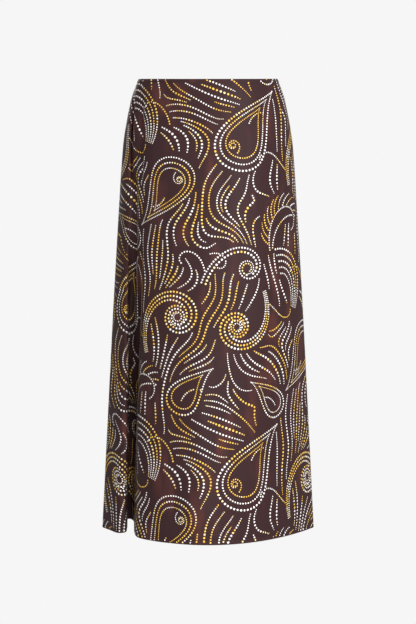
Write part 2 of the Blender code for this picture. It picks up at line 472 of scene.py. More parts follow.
SECTIONS = (
    Section(0.000, 0.1345, 0.100, 0.50, 0.098, 0.50),
    Section(0.015, 0.1410, 0.103, 0.50, 0.103, 0.50),
    Section(0.035, 0.1478, 0.106, 0.50, 0.109, 0.50),
    Section(0.060, 0.1535, 0.109, 0.51, 0.115, 0.50),
    Section(0.090, 0.1593, 0.112, 0.52, 0.121, 0.50),
    Section(0.125, 0.1645, 0.115, 0.54, 0.126, 0.50),
    Section(0.160, 0.1675, 0.118, 0.57, 0.130, 0.50),
    Section(0.260, 0.1740, 0.124, 0.65, 0.134, 0.51),
    Section(0.450, 0.1850, 0.138, 0.76, 0.142, 0.54),
    Section(0.650, 0.1950, 0.153, 0.86, 0.155, 0.58),
    Section(0.880, 0.2063, 0.172, 0.95, 0.168, 0.62),
)
FOLDS = (
    Fold(Side.FRONT, -0.860, -0.707, 0.27, 0.117, 0.80, 0.46, 0.38, 0.25, 0.128, -4.0, 1.0, 0.72, 1.0, 0.16),
    Fold(Side.BACK, -0.620, -0.590, 0.30, 0.082, 1.00, 0.58, 0.62, 0.22, 0.170, 168.0, 1.0, 0.90, 0.2, 1.0),
    Fold(Side.BACK, 0.020, 0.040, 0.42, 0.046, 1.15, 0.48, 0.54, 0.22, 0.200, 180.0, 1.0, 1.00, 0.0, 1.0),
    Fold(Side.BACK, 0.690, 0.650, 0.22, 0.104, 0.95, 0.50, 0.56, 0.20, 0.140, 191.0, 0.9, 1.00, 0.4, 1.0),
)
FOLD_LINES = (
    FoldLine(0.00, 1.00, 1.00, 1.00),
    FoldLine(0.05, 0.28, 1.00, 1.00),
    FoldLine(0.26, 0.03, 1.00, 1.00),
    FoldLine(0.62, 0.00, 0.88, 0.98),
    FoldLine(0.92, 0.00, 0.55, 0.86),
)
CREASES = (
    # The tuck at the wearer's right hip, and the dull valley beside it
    Crease(Side.FRONT, -0.1270, -0.1295, -0.016, 0.036, 0.0030, 0.0018, 0.0040, 0.4),
    Crease(Side.FRONT, -0.1410, -0.1440, 0.010, 0.120, 0.0024, 0.0014, 0.0050, -1.2),
    Crease(Side.FRONT, -0.1418, -0.1462, 0.040, 0.235, 0.0040, 0.0016, 0.0085, -1.2),
    Crease(Side.FRONT, -0.1375, -0.1430, 0.100, 0.560, 0.0085, 0.0058, 0.0120, -0.6),
    Crease(Side.FRONT, -0.1230, -0.1245, 0.010, 0.250, 0.0080, 0.0022, 0.0050, -0.7),
    # A short tuck at the other hip
    Crease(Side.FRONT, 0.1375, 0.1450, 0.004, 0.086, 0.0014, 0.0034, 0.0060, -0.5),
    Crease(Side.FRONT, 0.1350, 0.1440, 0.004, 0.085, 0.0050, 0.0030, -0.0012),
    # The long soft undulations of the front
    Crease(Side.FRONT, -0.0760, -0.0900, 0.120, 0.640, 0.0160, 0.0130, 0.0010),
    Crease(Side.FRONT, -0.0330, -0.0300, 0.020, 0.420, 0.0120, 0.0150, 0.0012),
    Crease(Side.FRONT, -0.0080, -0.0200, 0.300, 0.900, 0.0180, 0.0220, -0.0021),
    Crease(Side.FRONT, 0.0220, 0.0300, 0.060, 0.380, 0.0110, 0.0110, 0.0014),
    Crease(Side.FRONT, 0.0620, 0.0700, 0.140, 0.720, 0.0170, 0.0140, 0.0014),
    Crease(Side.FRONT, 0.0460, 0.0520, 0.420, 0.920, 0.0130, 0.0200, 0.0018),
    Crease(Side.FRONT, 0.0980, 0.1180, 0.240, 0.840, 0.0140, 0.0180, -0.0018),
    Crease(Side.FRONT, -0.0560, -0.0680, 0.560, 0.930, 0.0140, 0.0180, 0.0021),
    # The back's own
    Crease(Side.BACK, -0.1230, -0.1190, 0.000, 0.180, 0.0060, 0.0030, 0.0026),
    Crease(Side.BACK, 0.1180, 0.1210, 0.000, 0.150, 0.0030, 0.0060, 0.0030),
    Crease(Side.BACK, -0.0420, -0.0480, 0.010, 0.330, 0.0100, 0.0120, 0.0011),
    Crease(Side.BACK, 0.0560, 0.0520, 0.020, 0.420, 0.0110, 0.0090, 0.0013),
    Crease(Side.BACK, 0.0080, 0.0140, 0.060, 0.380, 0.0080, 0.0080, 0.0012),
    Crease(Side.BACK, -0.0780, -0.0560, 0.180, 0.900, 0.0150, 0.0120, -0.0015),
    Crease(Side.BACK, 0.0750, 0.0690, 0.260, 0.900, 0.0130, 0.0150, -0.0016),
)


def smooth_step(value: float, low: float, high: float) -> float:
    """0 below low, 1 above high, and a smooth curve between them."""
    t = min(max((value - low) / (high - low), 0.0), 1.0)
    return t * t * (3.0 - 2.0 * t)


def lengths_along(points: np.ndarray) -> np.ndarray:
    """The distance along a run of points, from 0 at the first."""
    steps = np.linalg.norm(np.diff(points, axis=0), axis=1)
    return np.concatenate(([0.0], np.cumsum(steps)))


@dataclass
class WornForm:
    """The cloth's inner face as it hangs from the waist: level rings, read from the tables.

    A ring's points hold x, y, z and the angle of the plain oval that they belong to: 0 at
    the +X side seam, 90 at the centre front, 180 at the -X side seam and 270 at the centre
    back. The -X seam is at the wearer's right.
    """

    length: float = 0.880
    front_dip: float = 0.021
    back_rise: float = 0.005
    faint_depth: float = 0.003
    faint_from: float = 0.012
    faint_full: float = 0.080
    plain_step: float = 17.0
    deepens: tuple[float, float] = (-0.10, 0.25)
    fewest_columns: int = 4
    spline_samples: int = 12
    column_width: float = 0.0038

    def __post_init__(self) -> None:
        """Counts the lines and columns, which every level shares."""
        self.drops = np.array([row.drop for row in SECTIONS])
        self.tables = {
            name: np.array([getattr(row, name) for row in SECTIONS])
            for name in ("half_width", "front_reach", "front_fullness", "back_reach", "back_fullness")
        }
        self.slopes = {name: np.gradient(values, self.drops) for name, values in self.tables.items()}
        self.plain = self._plain_counts()
        lengths = [lengths_along(stretch[:, :3])[-1] for stretch in self._stretches(self.length)]
        self.columns = [max(self.fewest_columns, round(length / self.column_width)) for length in lengths]

    def table_at(self, column: str, drop: float) -> float:
        """One column of the sections, read along a smooth curve.

        Args:
            column: The column's name.
            drop: Distance below the waist.

        Returns:
            The value there.
        """
        low = int(np.clip(np.searchsorted(self.drops, drop) - 1, 0, len(self.drops) - 2))
        values, slopes = self.tables[column], self.slopes[column]
        step = self.drops[low + 1] - self.drops[low]
        t = (drop - self.drops[low]) / step
        return (
            (2 * t**3 - 3 * t**2 + 1) * values[low]
            + (t**3 - 2 * t**2 + t) * step * slopes[low]
            + (3 * t**2 - 2 * t**3) * values[low + 1]
            + (t**3 - t**2) * step * slopes[low + 1]
        )

    def oval_point(self, angle: float, drop: float) -> np.ndarray:
        """A point of the plain form, with its angle.

        Args:
            angle: Degrees round the oval.
            drop: Distance below the waist.

        Returns:
            x, y, z and the angle.
        """
        side, rise = math.cos(math.radians(angle)), math.sin(math.radians(angle))
        front = rise >= 0.0
        name = "front" if front else "back"
        out = abs(rise) ** (2.0 * self.table_at(name + "_fullness", drop))
        y = self.table_at(name + "_reach", drop) * out * (-1.0 if front else 1.0)
        level = (-self.front_dip if front else self.back_rise) * out
        z = level * (1.0 - drop / self.length) - drop
        return np.array((self.table_at("half_width", drop) * side, y, z, angle))

    def _fold_angle(self, fold: Fold, drop: float) -> float:
        """The angle of a fold's middle, which drifts as the skirt widens.

        Args:
            fold: The fold.
            drop: Distance below the waist.

        Returns:
            Degrees round the oval.
        """
        narrow, wide = SECTIONS[0].half_width, SECTIONS[-1].half_width
        widened = (self.table_at("half_width", drop) - narrow) / (wide - narrow)
        angle = math.degrees(math.acos(fold.place_waist + (fold.place_hem - fold.place_waist) * widened))
        return angle if fold.side is Side.FRONT else 360.0 - angle

    def _fold_growth(self, fold: Fold, drop: float) -> tuple[float, float]:
        """How far a fold has grown.

        Args:
            fold: The fold.
            drop: Distance below the waist.

        Returns:
            The share of its depth that it has there, and how far its cloth is drawn up.
        """
        run = self.length - fold.start
        part = min(max((drop - fold.start) / run, 0.0), 1.0)
        grown = part**fold.growth * smooth_step(part, *self.deepens)
        faint = self.faint_depth / fold.depth * smooth_step(drop, self.faint_from, self.faint_full)
        return faint + (1.0 - faint) * grown, 0.5 * (fold.depth / run) ** 2 * run * part

    def _fold_half(self, fold: Fold, drop: float, growth: float, ease: float) -> list[tuple[float, float]]:
        """The lines from a brow of a fold to its floor.

        Args:
            fold: The fold.
            drop: Distance below the waist.
            growth: The share of its depth that it has there.
            ease: The power that bends its wall.

        Returns:
            Each line's distance from the fold's middle and its share of the depth.
        """
        half_width = self.table_at("half_width", drop)
        part = smooth_step(drop, fold.start, self.length)
        mouth = 0.5 * half_width * (fold.mouth_start + (fold.mouth_hem - fold.mouth_start) * part)
        gap = 0.5 * half_width * (fold.gap_start + (fold.gap_hem - fold.gap_start) * part)
        formed = min(growth / fold.opened, 1.0)
        half = []
        for index, line in enumerate(FOLD_LINES):
            shallow = mouth * (1.0 - index / len(FOLD_LINES))
            in_gap = line.in_gap + (line.in_gap_flat - line.in_gap) * fold.flat
            grown = gap * in_gap + (mouth - gap) * line.beyond_wall
            half.append((shallow + (grown - shallow) * formed, line.share**ease))
        return half

    def _fold_points(self, fold: Fold, drop: float) -> tuple[list[np.ndarray], float, float]:
        """The lines of a fold.

        Args:
            fold: The fold.
            drop: Distance below the waist.

        Returns:
            Its points with their angles, and the angles of its first and last brow.
        """
        middle = self._fold_angle(fold, drop)
        growth, drawn_up = self._fold_growth(fold, drop)
        near = self._fold_half(fold, drop, growth, fold.near_ease)
        far = self._fold_half(fold, drop, growth, fold.far_ease)
        ahead, behind = self.oval_point(middle + 0.5, drop), self.oval_point(middle - 0.5, drop)
        per_metre = 1.0 / np.linalg.norm(ahead[:3] - behind[:3])
        turn = math.radians(fold.turn)
        inward = np.array((math.sin(turn), math.cos(turn), 0.0, 0.0))
        points = []
        for place, share in [(-place, share) for place, share in near] + [(0.0, 1.0)] + far[::-1]:
            point = self.oval_point(middle + place * per_metre, drop) + inward * fold.depth * growth * share
            point[2] += drawn_up * growth * share
            points.append(point)
        return points, middle - near[0][0] * per_metre, middle + far[0][0] * per_metre

    def _plain_counts(self) -> list[int]:
        """Counts the plain lines between folds and side seams.

        Returns:
            How many each stretch has, in order round the ring.
        """
        counts = []
        for side in Side:
            edge = side.first
            for fold in (item for item in FOLDS if item.side is side):
                _, low, high = self._fold_points(fold, self.length)
                counts.append(max(1, round((low - edge) / self.plain_step)))
                edge = high
            counts.append(max(1, round((side.last - edge) / self.plain_step)))
        return counts

    def _lines(self, drop: float) -> tuple[np.ndarray, int]:
        """The ring's control lines.

        Args:
            drop: Distance below the waist.

        Returns:
            Their points with their angles, and the index of the -X seam among them.
        """
        counts = iter(self.plain)
        lines: list[np.ndarray] = []
        right_seam = 0
        for side in Side:
            right_seam = len(lines)
            lines.append(self.oval_point(side.first, drop))
            edge = side.first
            for fold in (item for item in FOLDS if item.side is side):
                points, low, high = self._fold_points(fold, drop)
                lines += self._plain_points(edge, low, next(counts), drop) + points
                edge = high
            lines += self._plain_points(edge, side.last, next(counts), drop)
        return np.array(lines), right_seam

    def _plain_points(self, start: float, end: float, count: int, drop: float) -> list[np.ndarray]:
        """Lines of the plain oval, evenly between two angles and without those angles.

        Args:
            start: The first angle.
            end: The last angle.
            count: How many lines.
            drop: Distance below the waist.

        Returns:
            Their points with their angles.
        """
        return [
            self.oval_point(start + (end - start) * (index + 1) / (count + 1), drop)
            for index in range(count)
        ]

    def _spline(self, four: np.ndarray) -> np.ndarray:
        """A centripetal Catmull-Rom spline between the middle two of four points.

        Args:
            four: The points.

        Returns:
            Points along it, with both ends.
        """
        knots = [0.0]
        for a, b in zip(four, four[1:]):
            knots.append(knots[-1] + math.sqrt(np.linalg.norm(b[:3] - a[:3])))
        t = np.linspace(knots[1], knots[2], self.spline_samples + 1)[:, None]
        k0, k1, k2, k3 = knots
        before, start, end, after = four
        a1 = (k1 - t) / (k1 - k0) * before + (t - k0) / (k1 - k0) * start
        a2 = (k2 - t) / (k2 - k1) * start + (t - k1) / (k2 - k1) * end
        a3 = (k3 - t) / (k3 - k2) * end + (t - k2) / (k3 - k2) * after
        b1 = (k2 - t) / (k2 - k0) * a1 + (t - k0) / (k2 - k0) * a2
        b2 = (k3 - t) / (k3 - k1) * a2 + (t - k1) / (k3 - k1) * a3
        return (k2 - t) / (k2 - k1) * b1 + (t - k1) / (k2 - k1) * b2

    def _stretches(self, drop: float) -> list[np.ndarray]:
        """The ring's spline.

        Args:
            drop: Distance below the waist.

        Returns:
            Its points, one stretch for each control line.
        """
        lines, self.right_seam = self._lines(drop)
        count = len(lines)
        stretches = []
        for i in range(count):
            four = lines[[i - 1, i, (i + 1) % count, (i + 2) % count]]
            four[:, 3] = np.unwrap(four[:, 3], period=360.0)
            stretches.append(self._spline(four))
        return stretches

    def ring(self, drop: float) -> np.ndarray:
        """The closed ring of points at a drop.

        Args:
            drop: Distance below the waist.

        Returns:
            One row for each column, with x, y, z and the plain angle.
        """
        points = []
        for stretch, count in zip(self._stretches(drop), self.columns):
            along = lengths_along(stretch[:, :3])
            wanted = along[-1] * np.arange(count) / count
            points.append(np.stack([np.interp(wanted, along, stretch[:, i]) for i in range(4)], axis=1))
        return np.concatenate(points)

    def skin(self, drops: Sequence[float]) -> tuple[np.ndarray, np.ndarray]:
        """The plain inner face, without the small creases.

        Args:
            drops: The levels of its rows.

        Returns:
            The grid of points, row by row, and the grid of their plain angles.
        """
        rows = np.array([self.ring(drop) for drop in drops])
        return rows[:, :, :3], rows[:, :, 3]

    @property
    def seam_column(self) -> int:
        """The column that runs down the -X side seam."""
        return sum(self.columns[: self.right_seam])


def outward_normals(grid: np.ndarray) -> np.ndarray:
    """Unit normals of a closed grid of rings, pointing away from the wearer.

    Args:
        grid: Points, row by row from the top.

    Returns:
        One normal for each point.
    """
    along = np.roll(grid, -1, axis=1) - np.roll(grid, 1, axis=1)
    down = np.gradient(grid, axis=0)
    normals = np.cross(along, down)
    return normals / np.linalg.norm(normals, axis=2, keepdims=True)


@dataclass
class Cloth:
    """The creased outer skin of the whole skirt, with a flat place for every point of it."""

    form: WornForm
    wall: float = 0.0015
    rows: int = 150
    row_spread: float = 1.25
    hem_turn: float = 0.007
    casing_height: float = 0.008
    casing_overlap: float = 0.0003
    seam_dip: float = 0.0009
    seam_reach: float = 0.0022
    hem_line: float = 0.0006
    hem_line_width: float = 0.0012
    hem_edge: float = 0.001
    fades_in: tuple[float, float] = (0.0, 0.33)
    fades_out: tuple[float, float] = (0.60, 1.0)

    def __post_init__(self) -> None:
        """Builds the grid of points and their flat places."""
        length, width = self.form.length, self.hem_line_width
        turn = length - self.hem_turn
        share = (np.arange(self.rows + 1) / self.rows) ** self.row_spread
        extra = [self.casing_height - self.casing_overlap, turn - width, turn + width, length - self.hem_edge]
        self.drops = np.unique(np.round(np.concatenate((length * share, extra)), 5))
        plain, angles = self.form.skin(self.drops)
        normals = outward_normals(plain)
        depth, slip = np.zeros(angles.shape), np.zeros(angles.shape)
        for crease in CREASES:
            pressed = self._crease_depth(crease, angles)
            depth += pressed
            slip += crease.slant * pressed
        depth += self._seam_depth(plain)
        depth += self.hem_line * np.exp(-(((self.drops - turn) / width) ** 2))[:, None]
        sideways = np.stack((-normals[:, :, 1], normals[:, :, 0], np.zeros(angles.shape)), axis=2)
        sideways *= np.where(sideways[:, :, [0]] < 0.0, -1.0, 1.0)
        self.grid = plain + normals * (self.wall - depth)[:, :, None] + sideways * slip[:, :, None]
        self.normals = outward_normals(self.grid)
        self.angles = angles

    def _crease_depth(self, crease: Crease, angles: np.ndarray) -> np.ndarray:
        """How far a crease presses each point in.

        Args:
            crease: The crease.
            angles: The plain angle of every point.

        Returns:
            A depth for every point.
        """
        part = (self.drops - crease.top) / (crease.foot - crease.top)
        fade = np.array([
            smooth_step(p, *self.fades_in) * (1.0 - smooth_step(p, *self.fades_out)) for p in part
        ])
        centre = crease.across_top + (crease.across_foot - crease.across_top) * part
        half = np.array([self.form.table_at("half_width", drop) for drop in self.drops])
        away = half[:, None] * np.cos(np.radians(angles)) - centre[:, None]
        width = np.where(away < 0.0, crease.width_right, crease.width_left)
        on_side = (np.sin(np.radians(angles)) > 0.0) == (crease.side is Side.FRONT)
        return crease.depth * np.exp(-((away / width) ** 2)) * fade[:, None] * on_side

    def _seam_depth(self, plain: np.ndarray) -> np.ndarray:
        """The shallow groove down each side seam.

        Args:
            plain: The plain inner face.

        Returns:
            A depth for every point.
        """
        depth = np.zeros(plain.shape[:2])
        for column in (0, self.form.seam_column):
            away = np.linalg.norm(plain - plain[:, [column]], axis=2)
            depth += self.seam_dip * np.exp(-((away / self.seam_reach) ** 2))
        return depth

    def columns_of(self, side: Side) -> np.ndarray:
        """The columns of a panel, from seam to seam."""
        total, seam = self.grid.shape[1], self.form.seam_column
        return np.arange(0, seam + 1) if side is Side.FRONT else np.arange(seam, total + 1) % total

    def flat_of(self, side: Side) -> np.ndarray:
        """The flat place of every point of a panel.

        Args:
            side: The panel.

        Returns:
            For each row and column, the distance from the panel's middle and below the waist.
        """
        columns = self.columns_of(side)
        points = self.grid[:, columns]
        steps = np.linalg.norm(np.diff(points, axis=1), axis=2)
        along = np.concatenate((np.zeros((len(points), 1)), np.cumsum(steps, axis=1)), axis=1)
        middle = int(np.argmin(np.abs(self.angles[-1, columns] - 0.5 * (side.first + side.last))))
        across = along[:, [middle]] - along
        down = np.repeat(self.drops[:, None], len(columns), axis=1)
        return np.stack((across, down), axis=2)


# ---------------------------------------------------------------- meshes


def linked(name: str, data: bpy.types.ID) -> bpy.types.Object:
    """Makes an object and puts it in the scene.

    Args:
        name: The object's name.
        data: Its mesh, light or camera.

    Returns:
        The object.
    """
    made = bpy.data.objects.new(name, data)
    bpy.context.scene.collection.objects.link(made)
    return made


def smooth_mesh(name: str, bm: bmesh.types.BMesh) -> bpy.types.Mesh:
    """Makes a smooth mesh of a bmesh.

    Args:
        name: The mesh's name.
        bm: The bmesh, which is freed.

    Returns:
        The mesh.
    """
    mesh = bpy.data.meshes.new(name)
    bm.to_mesh(mesh)
    bm.free()
    mesh.shade_smooth()
    return mesh


def finished(mesh: bpy.types.Mesh, material: bpy.types.Material, sharp: float = 50.0) -> bpy.types.Object:
    """Dresses a mesh and makes an object of the same name.

    Args:
        mesh: The mesh.
        material: Its one material.
        sharp: Edges that turn more than this many degrees stay sharp.

    Returns:
        The object, in the scene.
    """
    mesh.set_sharp_from_angle(angle=math.radians(sharp))
    mesh.materials.append(material)
    return linked(mesh.name, mesh)


class ClothMesh:
    """A mesh under construction, each vertex with its place on the flat cloth."""

    def __init__(self) -> None:
        """Starts an empty mesh."""
        self.bm = bmesh.new()
        self.uv = self.bm.loops.layers.uv.new("flat")
        self.places: dict[bmesh.types.BMVert, Sequence[float]] = {}

    def row(self, points: np.ndarray, flat: Iterable[Sequence[float]]) -> list[bmesh.types.BMVert]:
        """Adds a row of vertices.

        Args:
            points: Where they are.
            flat: Where they are on the flat cloth.

        Returns:
            The vertices.
        """
        verts = [self.bm.verts.new(point) for point in points]
        self.places.update(zip(verts, flat))
        return verts

    def quads(self, rows: list[list[bmesh.types.BMVert]], closed: bool = False) -> None:
        """Adds quads over rows of vertices.

        Args:
            rows: The rows, one below the other.
            closed: Whether the last column joins the first.
        """
        columns = len(rows[0])
        for upper, lower in zip(rows, rows[1:]):
            for column in range(columns if closed else columns - 1):
                following = (column + 1) % columns
                self.bm.faces.new((upper[column], upper[following], lower[following], lower[column]))

    def mesh(self, name: str, shell: bool) -> bpy.types.Mesh:
        """Writes the flat places and ends the construction.

        Args:
            name: The mesh's name.
            shell: Whether it is closed, so that its faces are turned outward.

        Returns:
            The mesh, with the flat places as its UV map.
        """
        for face in self.bm.faces:
            for loop in face.loops:
                loop[self.uv].uv = self.places[loop.vert]
        if shell:
            bmesh.ops.recalc_face_normals(self.bm, faces=self.bm.faces)
        return smooth_mesh(name, self.bm)


@dataclass
class ClothPanel:
    """One panel of satin: a thin closed shell with its hem turned up."""

    side: Side
    cloth: Cloth
    thickness: float = 0.0005
    hem_layers: float = 0.0005
    tucked_in: float = 0.0004
    sharp: float = 70.0

    def build(self, material: bpy.types.Material) -> bpy.types.Object:
        """Builds the shell.

        Args:
            material: The satin.

        Returns:
            The panel's object.
        """
        cloth = self.cloth
        start = int(np.searchsorted(cloth.drops, cloth.casing_height - self.tucked_in))
        columns = cloth.columns_of(self.side)
        outer = cloth.grid[start:, columns]
        turned = cloth.drops[start:] > cloth.form.length - cloth.hem_turn
        depth = self.thickness + self.hem_layers * turned
        inner = outer - cloth.normals[start:, columns] * depth[:, None, None]
        flat = cloth.flat_of(self.side)[start:]
        made = ClothMesh()
        skins = [[made.row(points, spots) for points, spots in zip(skin, flat)] for skin in (outer, inner)]
        for rows in skins:
            made.quads(rows)
        for row in (0, -1):
            made.quads([skins[0][row], skins[1][row]])
        for column in (0, -1):
            made.quads([[line[column] for line in rows] for rows in skins])
        return finished(made.mesh("satin_" + self.side.node, shell=True), material, self.sharp)

    def guide(self, proud: float) -> bpy.types.Object:
        """The outer skin alone, from the waist's edge to the hem, on which the print is wrapped.

        Args:
            proud: How far the casing stands out beyond the panel.

        Returns:
            A temporary object with the flat places as its UV map.
        """
        cloth = self.cloth
        out = proud * (cloth.drops < cloth.casing_height)[:, None, None]
        skin = (cloth.grid + cloth.normals * out)[:, cloth.columns_of(self.side)]
        made = ClothMesh()
        made.quads([made.row(points, spots) for points, spots in zip(skin, cloth.flat_of(self.side))])
        return linked("guide_" + self.side.node, made.mesh("guide", shell=False))

    def cut(self) -> tuple[float, float, float]:
        """The flat cut of the panel.

        Returns:
            Its width at the hem, its length and its area.
        """
        flat = self.cloth.flat_of(self.side)
        widths = flat[:, 0, 0] - flat[:, -1, 0]
        area = float(np.sum(np.diff(self.cloth.drops) * 0.5 * (widths[1:] + widths[:-1])))
        return float(widths.max()), self.cloth.form.length, area


@dataclass
class WaistCasing:
    """The satin turned over narrow elastic at the waist.

    Its gathers are waves along the waist, each with its rate, its lead and its share.
    """

    cloth: Cloth
    thickness: float = 0.0026
    proud: float = 0.0005
    squareness: float = 0.62
    sides: int = 14
    ripple: float = 0.00018
    gathers: tuple[tuple[float, float, float], ...] = ((760.0, 0.0, 0.6), (433.0, 1.3, 0.4))

    def build(self, material: bpy.types.Material) -> bpy.types.Object:
        """Builds the ring.

        Args:
            material: The satin.

        Returns:
            The casing's object.
        """
        height = self.cloth.casing_height
        grid, _ = self.cloth.form.skin([0.0, height])
        normals = outward_normals(grid)[0]
        along = lengths_along(grid[0])
        gather = self.ripple * sum(np.sin(along * rate + lead) * share for rate, lead, share in self.gathers)
        middle = self.cloth.wall + self.proud - self.thickness / 2.0
        made = ClothMesh()
        loops = []
        for index in range(self.sides):
            angle = 2.0 * math.pi * (index + 0.5) / self.sides
            down, out = (
                math.copysign(abs(value) ** self.squareness, value)
                for value in (math.cos(angle), math.sin(angle))
            )
            part = 0.5 * (1.0 + down)
            depth = middle + self.thickness / 2.0 * out + gather * max(out, 0.0) * (1.0 - abs(down))
            points = grid[0] + (grid[1] - grid[0]) * part + normals * depth[:, None]
            loops.append(made.row(points, ((across, part * height) for across in along)))
        made.quads(loops + [loops[0]], closed=True)
        return finished(made.mesh("satin_waist_casing", shell=True), material)


# ---------------------------------------------------------------- geometry nodes


class NodeGroup(Tree):
    """A Geometry Nodes group with named inputs, which makes a piece of a layout mesh."""

    def __init__(self, name: str, **kinds: str) -> None:
        """Starts the group.

        Args:
            name: The group's name.
            kinds: Its own inputs, each with its kind of socket. Geometry and Material are added.
        """
        super().__init__(bpy.data.node_groups.new(name, "GeometryNodeTree"))
        sockets = {"Geometry": "Geometry", **kinds, "Material": "Material"}
        face = self.nodes.interface
        self.identifiers = {
            key: face.new_socket(key, in_out="INPUT", socket_type="NodeSocket" + kind).identifier
            for key, kind in sockets.items()
        }
        face.new_socket("Geometry", in_out="OUTPUT", socket_type="NodeSocketGeometry")
        given = self.nodes.nodes.new("NodeGroupInput")
        self.inputs = {item.name: Socket(self, item) for item in given.outputs if item.name}

    def attribute(self, name: str, kind: str = "FLOAT_VECTOR") -> Socket:
        """A named attribute of the geometry."""
        return self.add("GeometryNodeInputNamedAttribute", {"data_type": kind}, {"Name": name})

    def close(self, geometry: Socket) -> None:
        """Gives the geometry its material and leads it out of the group.

        Args:
            geometry: The finished geometry.
        """
        dressed = self.add("GeometryNodeSetMaterial", {}, {
            "Geometry": geometry, "Material": self.inputs["Material"]})
        self.feed(self.nodes.nodes.new("NodeGroupOutput").inputs[0], dressed)

    def piece(self, name: str, layout: bpy.types.Mesh, material: bpy.types.Material,
              **values: object) -> bpy.types.Object:
        """Makes a plain mesh of what the group builds.

        Args:
            name: The piece's name.
            layout: The mesh that the group starts from.
            material: The piece's one material.
            values: What the group's own inputs are set to.

        Returns:
            The piece.
        """
        carrier = linked(name + "_layout", layout)
        modifier = carrier.modifiers.new("layout", "NODES")
        modifier.node_group = self.nodes
        for key, value in {**values, "Material": material}.items():
            modifier[self.identifiers[key]] = value
        bpy.context.view_layer.update()
        evaluated = carrier.evaluated_get(bpy.context.evaluated_depsgraph_get())
        mesh = bpy.data.meshes.new_from_object(evaluated)
        mesh.name = name
        mesh.materials.clear()
        mesh.materials.append(material)
        bpy.data.objects.remove(carrier, do_unlink=True)
        return linked(name, mesh)


# ---------------------------------------------------------------- the print


Row = tuple[np.ndarray, float, tuple[float, float]]  # points, pitch, and the taper of both ends


@dataclass(frozen=True)
class Stroke:
    """Rows of dots side by side along a curve whose bend changes from its start to its end.

    at is in centimetres from the motif's middle, across and down. heading is in degrees,
    0 to the right and 90 straight down. bend and curl are the degrees that it turns in
    each centimetre at its start and at its end. gaps are the millimetres from row to row
    at its start, middle and end. Ribs are short rows that branch off along it.
    """

    at: tuple[float, float]
    heading: float
    length: float
    bend: float
    curl: float
    late: float = 1.0
    rows: int = 1
    gaps: tuple[float, float, float] = (7.0, 7.0, 7.0)
    pitch: float = 5.4
    ribs: int = 0
    rib_length: float = 3.0
    rib_turn: float = 60.0
    rib_bend: float = 14.0
    rib_pitch: float = 4.6
    rib_steps: int = 10
    rib_margin: float = 1.5
    rib_lead: float = 0.15
    rib_swell: float = 0.6
    rib_taper: tuple[float, float] = (1.0, 0.7)
    points_in_cm: int = 4
    fewest_points: int = 12
    narrowest: float = 0.55

    def spine(self) -> tuple[np.ndarray, np.ndarray]:
        """The stroke's middle line.

        Returns:
            Its points, in centimetres, and its headings, in radians.
        """
        count = max(self.fewest_points, int(self.length * self.points_in_cm))
        t = (np.arange(count) + 0.5) / count
        bend = self.bend + (self.curl - self.bend) * t**self.late
        step = self.length / count
        heading = np.radians(self.heading + np.cumsum(bend) * step)
        path = np.cumsum(np.stack((np.cos(heading), np.sin(heading)), axis=1) * step, axis=0)
        return np.concatenate((np.zeros((1, 2)), path)) + np.array(self.at), heading

    def lines(self) -> list[Row]:
        """The rows of the stroke and of its ribs.

        Returns:
            Each row's points, pitch and taper.
        """
        spine, heading = self.spine()
        ways = np.gradient(spine, axis=0)
        ways /= np.linalg.norm(ways, axis=1, keepdims=True)
        beside = np.stack((-ways[:, 1], ways[:, 0]), axis=1)
        gap = MM_IN_CM * np.interp(np.linspace(0.0, 1.0, len(spine)), (0.0, 0.5, 1.0), self.gaps)
        start, end = (max(self.narrowest, g / max(self.gaps)) for g in (self.gaps[0], self.gaps[2]))
        made = []
        for index in range(self.rows):
            offset = (index - (self.rows - 1) / 2.0) * gap
            made.append((spine + beside * offset[:, None], self.pitch, (start, end)))
        for index in range(self.ribs):
            made.append(self._rib((index + 1.0) / (self.ribs + self.rib_margin), spine, heading))
        return made

    def _rib(self, part: float, spine: np.ndarray, heading: np.ndarray) -> Row:
        """One rib.

        Args:
            part: Where it branches off, as a share of the stroke.
            spine: The stroke's points.
            heading: The stroke's headings.

        Returns:
            Its points, pitch and taper.
        """
        start = int(part * len(heading))
        reach = self.rib_length * math.sin(math.pi * min(1.0, part + self.rib_lead)) ** self.rib_swell
        steps = self.rib_steps
        bends = self.rib_bend * reach * np.arange(steps) / steps
        ways = heading[start] + np.radians(self.rib_turn + bends)
        rib = np.cumsum(np.stack((np.cos(ways), np.sin(ways)), axis=1) * reach / steps, axis=0)
        return np.concatenate((np.zeros((1, 2)), rib)) + spine[start], self.rib_pitch, self.rib_taper


